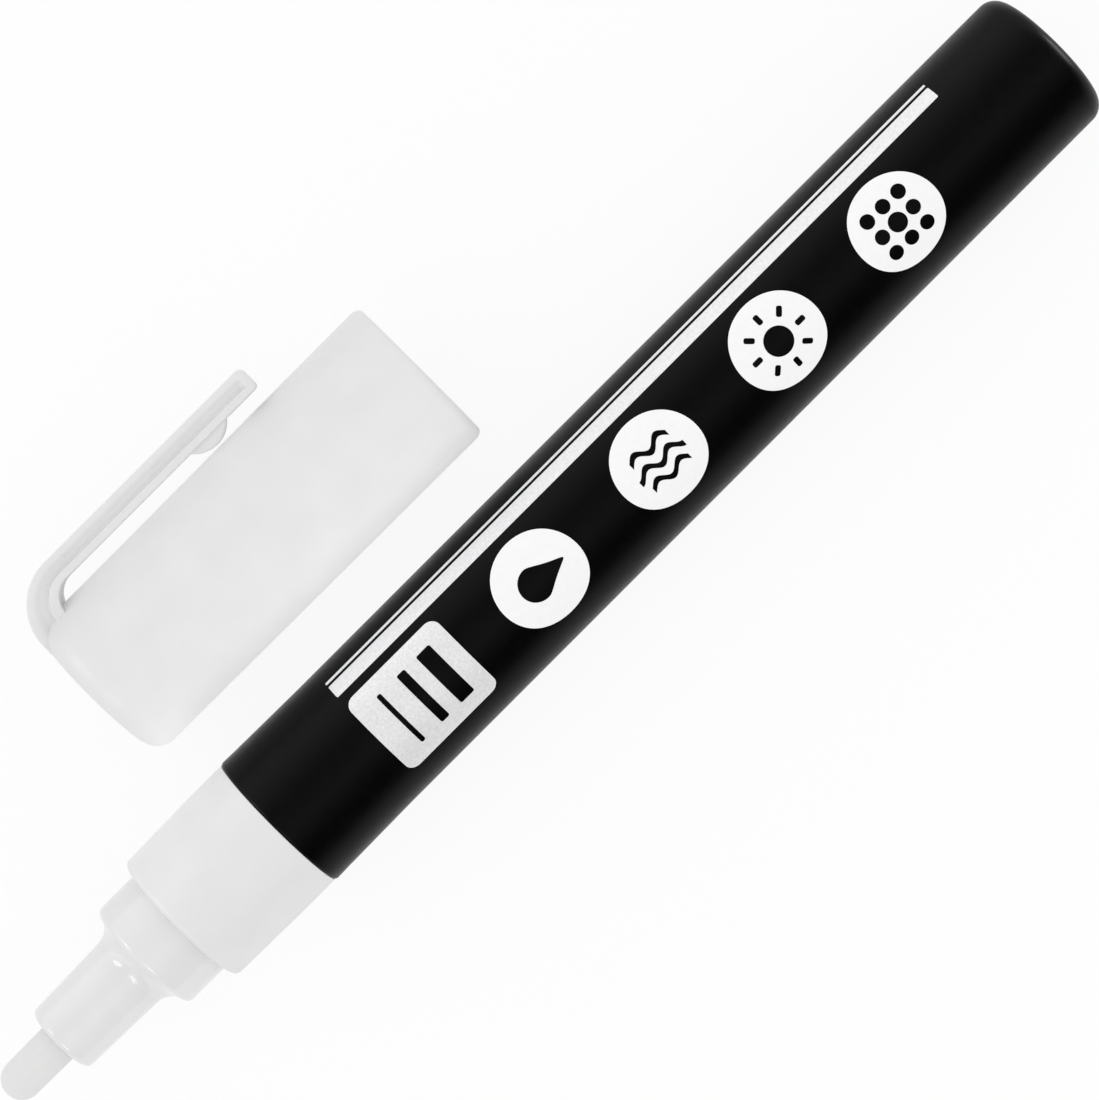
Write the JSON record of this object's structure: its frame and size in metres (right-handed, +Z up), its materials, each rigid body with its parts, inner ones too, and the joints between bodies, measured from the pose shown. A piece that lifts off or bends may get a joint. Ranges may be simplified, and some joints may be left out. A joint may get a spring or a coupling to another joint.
{
  "type": "liquid chalk marker",
  "caption": "Round liquid chalk marker with a stepped white nozzle, a spring valve behind its felt nib, a loose mixing ball and a push-on cap with a pocket clip lying beside it.",
  "frame": {"origin": "on the table, under the middle of the pen and cap together", "axes": "+X along the pen from its nib to its rear end, +Y from the pen towards the cap, +Z up"},
  "size_m": [0.1382, 0.0404, 0.0166],
  "materials": {
    "barrel": "matte black lacquer",
    "collar": "satin white moulding",
    "nozzle": "glossy white moulding",
    "nib": "white felt",
    "seal": "soft grey",
    "valve": "natural moulding",
    "spring": "drawn wire",
    "ball": "ground",
    "cap": "satin white moulding",
    "liner": "natural white moulding"
  },
  "bodies": {
    "pen": {"barrel": "barrel", "front_collar": "collar", "nozzle": "nozzle", "valve_seat": "seal", "valve_cage": "valve", "valve_spring": "spring"},
    "tip": {"nib": "nib", "valve_plunger": "valve"},
    "ball": {"mixing_ball": "ball"},
    "cap": {"cap_shell": "cap", "inner_cap": "liner"},
    "clip": {"pocket_clip": "cap"}
  },
  "joints": [
    {"name": "nib_press", "type": "slide", "parent": "pen", "child": "tip", "axis": [1, 0, 0], "range_m": [0, 0.0018], "stiffness_N_per_m": 600, "springref_m": -0.0025, "deforming": ["valve_spring"]},
    {"name": "ball_roll", "type": "slide", "parent": "pen", "child": "ball", "axis": [1, 0, 0], "range_m": [-0.0437, 0.0379]},
    {"name": "cap_slide", "type": "slide", "parent": "pen", "child": "cap", "axis": [-1, 0, 0], "range_m": [0, 0.077]},
    {"name": "clip_flex", "type": "hinge", "parent": "cap", "child": "clip", "pos_m": [-0.03662, 0.01238, 0.00855], "axis": [0, -0.061, 0.9981], "range_deg": [0, 5], "stiffness_Nm_per_rad": 0.6}
  ]
}
